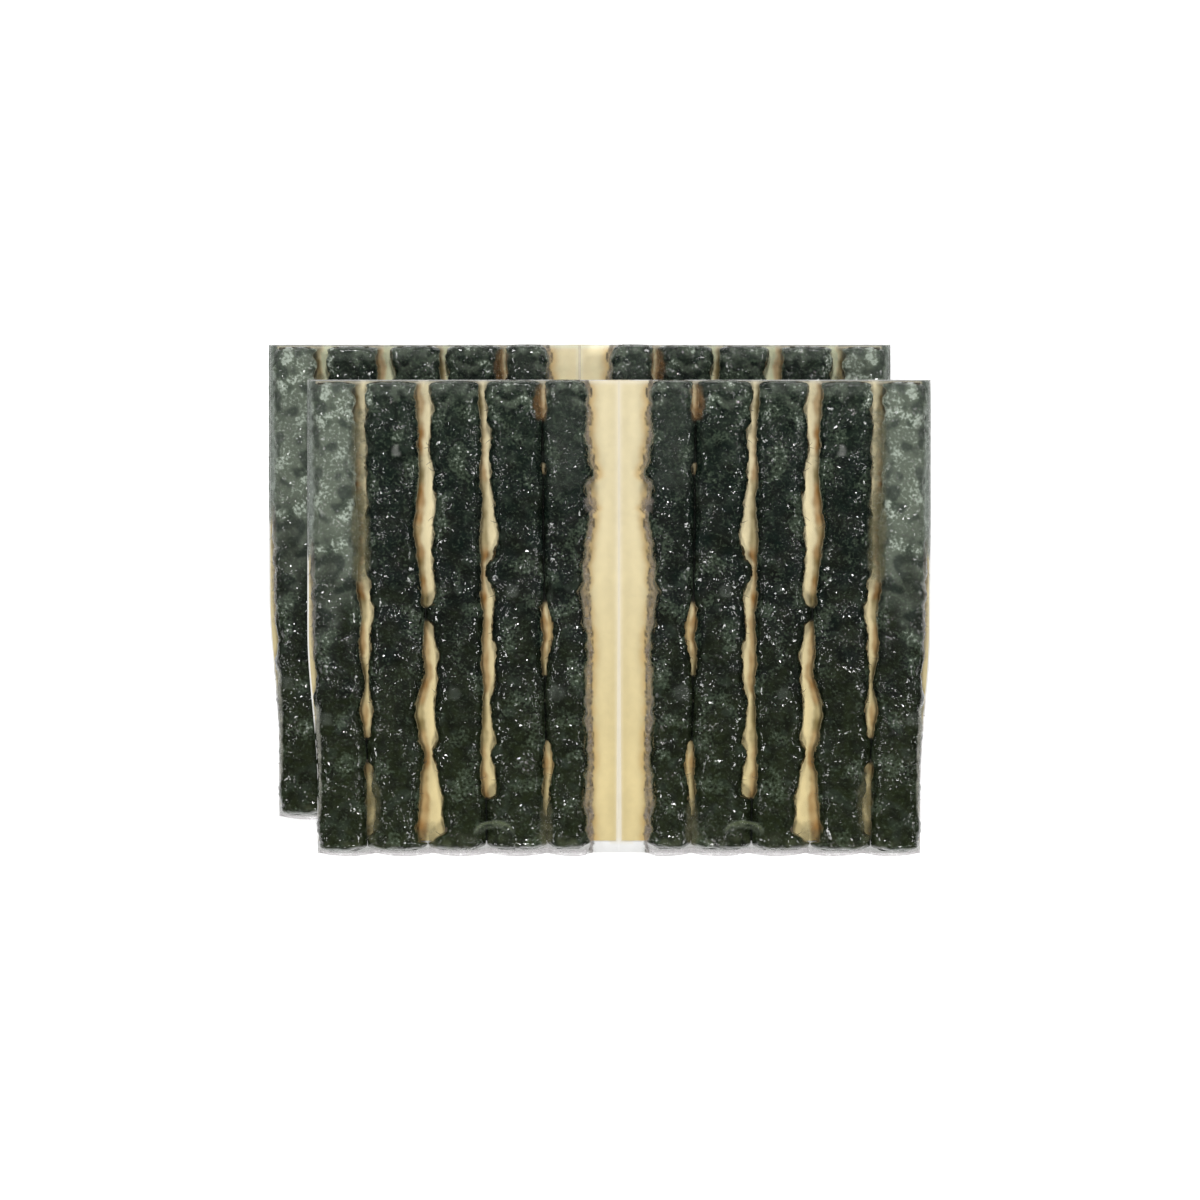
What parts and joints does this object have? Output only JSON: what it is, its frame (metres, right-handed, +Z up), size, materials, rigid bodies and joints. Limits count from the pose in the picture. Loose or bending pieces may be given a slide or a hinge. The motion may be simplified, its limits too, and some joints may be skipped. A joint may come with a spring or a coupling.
{
  "type": "tyre repair strips on peel-off cards",
  "caption": "Sticky rubber-and-cord tyre plugging strips side by side on release-paper cards under clear film, the cards stacked in two overlapping pairs.",
  "frame": {"origin": "middle of the stack's footprint, on the surface it lies on", "axes": "+X across the strips, to the right of someone facing the cards; +Y towards the cards' top edge; +Z up, through the stack"},
  "size_m": [0.0848, 0.0656, 0.0072],
  "materials": {
    "backing": "smooth matt white sheet",
    "paper": "waxed cream release paper, stained beside the strips",
    "film": "thin clear film, wrinkled and bubbled",
    "rubber": "sticky, wet-looking, lumpy unvulcanised rubber",
    "cord": "twisted yarn soaked in rubber"
  },
  "bodies": {
    "lower_left": {"lower_left_backing": "backing", "lower_left_paper": "paper", "lower_left_film": "film"},
    "lower_right": {"lower_right_backing": "backing", "lower_right_paper": "paper", "lower_right_film": "film"},
    "upper_left": {"upper_left_backing": "backing", "upper_left_paper": "paper"},
    "upper_right": {"upper_right_backing": "backing", "upper_right_paper": "paper"},
    "upper_left_film": {"upper_left_film": "film"},
    "upper_right_film": {"upper_right_film": "film"},
    "lower_left_strip_1": {"lower_left_strip_1": "rubber", "lower_left_cords_1": "cord"},
    "lower_left_strip_2": {"lower_left_strip_2": "rubber", "lower_left_cords_2": "cord"},
    "lower_left_strip_3": {"lower_left_strip_3": "rubber", "lower_left_cords_3": "cord"},
    "lower_left_strip_4": {"lower_left_strip_4": "rubber", "lower_left_cords_4": "cord"},
    "lower_left_strip_5": {"lower_left_strip_5": "rubber", "lower_left_cords_5": "cord"},
    "lower_right_strip_1": {"lower_right_strip_1": "rubber", "lower_right_cords_1": "cord"},
    "lower_right_strip_2": {"lower_right_strip_2": "rubber", "lower_right_cords_2": "cord"},
    "lower_right_strip_3": {"lower_right_strip_3": "rubber", "lower_right_cords_3": "cord"},
    "lower_right_strip_4": {"lower_right_strip_4": "rubber", "lower_right_cords_4": "cord"},
    "lower_right_strip_5": {"lower_right_strip_5": "rubber", "lower_right_cords_5": "cord"},
    "upper_left_strip_1": {"upper_left_strip_1": "rubber", "upper_left_cords_1": "cord"},
    "upper_left_strip_2": {"upper_left_strip_2": "rubber", "upper_left_cords_2": "cord"},
    "upper_left_strip_3": {"upper_left_strip_3": "rubber", "upper_left_cords_3": "cord"},
    "upper_left_strip_4": {"upper_left_strip_4": "rubber", "upper_left_cords_4": "cord"},
    "upper_left_strip_5": {"upper_left_strip_5": "rubber", "upper_left_cords_5": "cord"},
    "upper_right_strip_1": {"upper_right_strip_1": "rubber", "upper_right_cords_1": "cord"},
    "upper_right_strip_2": {"upper_right_strip_2": "rubber", "upper_right_cords_2": "cord"},
    "upper_right_strip_3": {"upper_right_strip_3": "rubber", "upper_right_cords_3": "cord"},
    "upper_right_strip_4": {"upper_right_strip_4": "rubber", "upper_right_cords_4": "cord"},
    "upper_right_strip_5": {"upper_right_strip_5": "rubber", "upper_right_cords_5": "cord"}
  },
  "joints": [
    {"name": "lower_right_aside", "type": "slide", "parent": "lower_left", "child": "lower_right", "axis": [1, 0, 0], "range_m": [0, 0.045]},
    {"name": "upper_left_lift", "type": "slide", "parent": "lower_left", "child": "upper_left", "axis": [0, 0, 1], "range_m": [0, 0.03]},
    {"name": "upper_right_lift", "type": "slide", "parent": "lower_right", "child": "upper_right", "axis": [0, 0, 1], "range_m": [0, 0.03]},
    {"name": "upper_left_film_peel", "type": "hinge", "parent": "upper_left", "child": "upper_left_film", "pos_m": [-0.01748, 0.0282, 0.0072], "axis": [-1, 0, 0], "range_deg": [0, 165]},
    {"name": "upper_right_film_peel", "type": "hinge", "parent": "upper_right", "child": "upper_right_film", "pos_m": [0.02252, 0.0282, 0.0072], "axis": [-1, 0, 0], "range_deg": [0, 165]},
    {"name": "lower_left_strip_1_out", "type": "slide", "parent": "lower_left", "child": "lower_left_strip_1", "axis": [0.0108, -0.9999, 0], "range_m": [0, 0.062]},
    {"name": "lower_left_strip_2_out", "type": "slide", "parent": "lower_left", "child": "lower_left_strip_2", "axis": [0.0108, -0.9999, 0], "range_m": [0, 0.062]},
    {"name": "lower_left_strip_3_out", "type": "slide", "parent": "lower_left", "child": "lower_left_strip_3", "axis": [0.0108, -0.9999, 0], "range_m": [0, 0.062]},
    {"name": "lower_left_strip_4_out", "type": "slide", "parent": "lower_left", "child": "lower_left_strip_4", "axis": [0.0108, -0.9999, 0], "range_m": [0, 0.062]},
    {"name": "lower_left_strip_5_out", "type": "slide", "parent": "lower_left", "child": "lower_left_strip_5", "axis": [0.0108, -0.9999, 0], "range_m": [0, 0.062]},
    {"name": "lower_right_strip_1_out", "type": "slide", "parent": "lower_right", "child": "lower_right_strip_1", "axis": [-0.0108, -0.9999, 0], "range_m": [0, 0.062]},
    {"name": "lower_right_strip_2_out", "type": "slide", "parent": "lower_right", "child": "lower_right_strip_2", "axis": [-0.0108, -0.9999, 0], "range_m": [0, 0.062]},
    {"name": "lower_right_strip_3_out", "type": "slide", "parent": "lower_right", "child": "lower_right_strip_3", "axis": [-0.0108, -0.9999, 0], "range_m": [0, 0.062]},
    {"name": "lower_right_strip_4_out", "type": "slide", "parent": "lower_right", "child": "lower_right_strip_4", "axis": [-0.0108, -0.9999, 0], "range_m": [0, 0.062]},
    {"name": "lower_right_strip_5_out", "type": "slide", "parent": "lower_right", "child": "lower_right_strip_5", "axis": [-0.0108, -0.9999, 0], "range_m": [0, 0.062]},
    {"name": "upper_left_strip_1_out", "type": "slide", "parent": "upper_left", "child": "upper_left_strip_1", "axis": [0.0108, -0.9999, 0], "range_m": [0, 0.062]},
    {"name": "upper_left_strip_2_out", "type": "slide", "parent": "upper_left", "child": "upper_left_strip_2", "axis": [0.0108, -0.9999, 0], "range_m": [0, 0.062]},
    {"name": "upper_left_strip_3_out", "type": "slide", "parent": "upper_left", "child": "upper_left_strip_3", "axis": [0.0108, -0.9999, 0], "range_m": [0, 0.062]},
    {"name": "upper_left_strip_4_out", "type": "slide", "parent": "upper_left", "child": "upper_left_strip_4", "axis": [0.0108, -0.9999, 0], "range_m": [0, 0.062]},
    {"name": "upper_left_strip_5_out", "type": "slide", "parent": "upper_left", "child": "upper_left_strip_5", "axis": [0.0108, -0.9999, 0], "range_m": [0, 0.062]},
    {"name": "upper_right_strip_1_out", "type": "slide", "parent": "upper_right", "child": "upper_right_strip_1", "axis": [-0.0108, -0.9999, 0], "range_m": [0, 0.062]},
    {"name": "upper_right_strip_2_out", "type": "slide", "parent": "upper_right", "child": "upper_right_strip_2", "axis": [-0.0108, -0.9999, 0], "range_m": [0, 0.062]},
    {"name": "upper_right_strip_3_out", "type": "slide", "parent": "upper_right", "child": "upper_right_strip_3", "axis": [-0.0108, -0.9999, 0], "range_m": [0, 0.062]},
    {"name": "upper_right_strip_4_out", "type": "slide", "parent": "upper_right", "child": "upper_right_strip_4", "axis": [-0.0108, -0.9999, 0], "range_m": [0, 0.062]},
    {"name": "upper_right_strip_5_out", "type": "slide", "parent": "upper_right", "child": "upper_right_strip_5", "axis": [-0.0108, -0.9999, 0], "range_m": [0, 0.062]}
  ]
}
